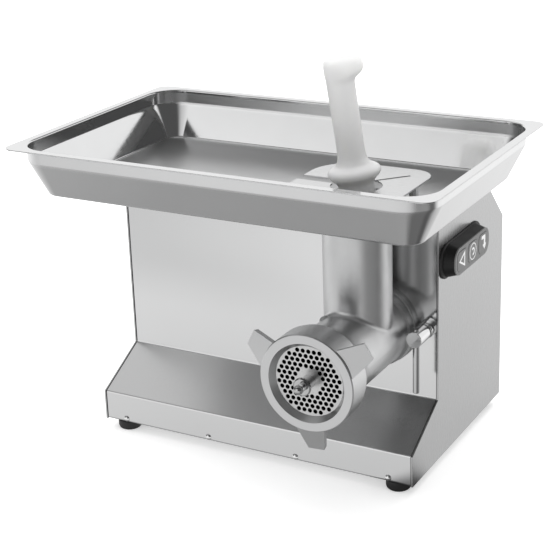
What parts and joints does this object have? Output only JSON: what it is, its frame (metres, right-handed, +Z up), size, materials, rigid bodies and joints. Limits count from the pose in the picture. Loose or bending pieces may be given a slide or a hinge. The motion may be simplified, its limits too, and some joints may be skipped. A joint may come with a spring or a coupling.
{
  "type": "electric meat grinder",
  "caption": "Tabletop electric meat grinder: folded steel body, screwed grinding head with perforated plate, wide feed tray, pusher and three push buttons.",
  "frame": {"origin": "on the bench under the middle of the feed tray's length, in the plane of the front wall", "axes": "+X to the right seen from the discharge side, towards the control pod; +Y from the discharge to the rear cover; +Z up"},
  "size_m": [0.5, 0.396, 0.4737],
  "materials": {
    "satin_steel": "satin brushed stainless sheet",
    "polished_steel": "mirror-polished stainless sheet",
    "cast_steel": "bead-blasted stainless casting",
    "turned_steel": "turned and ground steel",
    "chrome": "polished",
    "black_rubber": "matte",
    "black_plastic": "matte",
    "grey_plastic": "matte",
    "white_polyethylene": "milky, slightly waxy",
    "gear_steel": "ground teeth, oiled",
    "cast_aluminium": "die cast",
    "winding": "varnished copper winding",
    "lamination": "stacked laminations"
  },
  "bodies": {
    "housing": {"side_panel_left": "satin_steel", "side_panel_right": "satin_steel", "front_cover": "satin_steel", "lip_screws": "chrome", "top_plate": "satin_steel", "rear_cover": "satin_steel", "rear_screws": "chrome", "base_plate": "satin_steel", "feet": "black_rubber", "foot_screws": "turned_steel", "power_inlet": "black_plastic", "head_socket": "cast_steel", "socket_screws": "turned_steel", "barrel": "cast_steel", "grinding_plate": "turned_steel", "plate_key": "turned_steel", "clamp_bush": "chrome", "switch_gasket": "black_rubber", "switch_housing": "black_rubber", "switch_face": "grey_plastic", "gearbox_case": "cast_aluminium", "gearbox_cover": "cast_aluminium", "bearings": "turned_steel", "shaft_seal": "black_rubber", "motor_housing": "cast_aluminium", "motor_end_cover": "cast_aluminium", "stator": "winding", "gearbox_stand": "satin_steel", "contactor": "black_plastic", "contactor_bracket": "satin_steel", "capacitor": "cast_aluminium", "capacitor_clip": "satin_steel"},
    "auger": {"auger": "cast_steel", "auger_stud": "chrome", "knife": "turned_steel", "drive_hub": "gear_steel", "output_gear": "gear_steel"},
    "idler": {"idler_shaft": "gear_steel", "idler_pinion": "gear_steel", "idler_gear": "gear_steel"},
    "rotor": {"rotor": "lamination", "motor_pinion": "gear_steel", "cooling_fan": "black_plastic"},
    "ring_nut": {"ring_nut": "cast_steel"},
    "clamp": {"clamp_knob": "chrome", "clamp_lever": "chrome"},
    "tray": {"tray": "polished_steel", "guard_plate": "satin_steel", "guard_posts": "satin_steel"},
    "pusher": {"pusher": "white_polyethylene"},
    "button_forward": {"button_forward": "grey_plastic"},
    "button_stop": {"button_stop": "grey_plastic"},
    "button_reverse": {"button_reverse": "grey_plastic"}
  },
  "joints": [
    {"name": "auger_spin", "type": "hinge", "parent": "housing", "child": "auger", "pos_m": [0.113, 0, 0.166], "axis": [0, 1, 0], "continuous": true},
    {"name": "idler_spin", "type": "hinge", "parent": "housing", "child": "idler", "pos_m": [0.04702, 0, 0.14263], "axis": [0, 1, 0], "continuous": true},
    {"name": "rotor_spin", "type": "hinge", "parent": "housing", "child": "rotor", "pos_m": [-0.00899, 0, 0.15954], "axis": [0, 1, 0], "continuous": true},
    {"name": "ring_nut_turn", "type": "hinge", "parent": "housing", "child": "ring_nut", "pos_m": [0.113, -0.16, 0.166], "axis": [0, 1, 0], "continuous": true},
    {"name": "clamp_turn", "type": "hinge", "parent": "housing", "child": "clamp", "pos_m": [0.1685, -0.02, 0.168], "axis": [0, 1, 0], "range_deg": [-150, 25]},
    {"name": "tray_lift", "type": "slide", "parent": "housing", "child": "tray", "axis": [0, 0, 1], "range_m": [0, 0.12]},
    {"name": "pusher_lift", "type": "slide", "parent": "tray", "child": "pusher", "axis": [0, 0, 1], "range_m": [0, 0.12]},
    {"name": "button_forward_press", "type": "slide", "parent": "housing", "child": "button_forward", "axis": [-1, 0, 0], "range_m": [0, 0.0015], "stiffness_N_per_m": 600, "springref_m": -0.001},
    {"name": "button_stop_press", "type": "slide", "parent": "housing", "child": "button_stop", "axis": [-1, 0, 0], "range_m": [0, 0.0015], "stiffness_N_per_m": 600, "springref_m": -0.001},
    {"name": "button_reverse_press", "type": "slide", "parent": "housing", "child": "button_reverse", "axis": [-1, 0, 0], "range_m": [0, 0.0015], "stiffness_N_per_m": 600, "springref_m": -0.001}
  ],
  "couplings": [
    {"joint": "idler_spin", "follows": "auger_spin", "ratio": -2.5},
    {"joint": "rotor_spin", "follows": "auger_spin", "ratio": 8.3333}
  ]
}
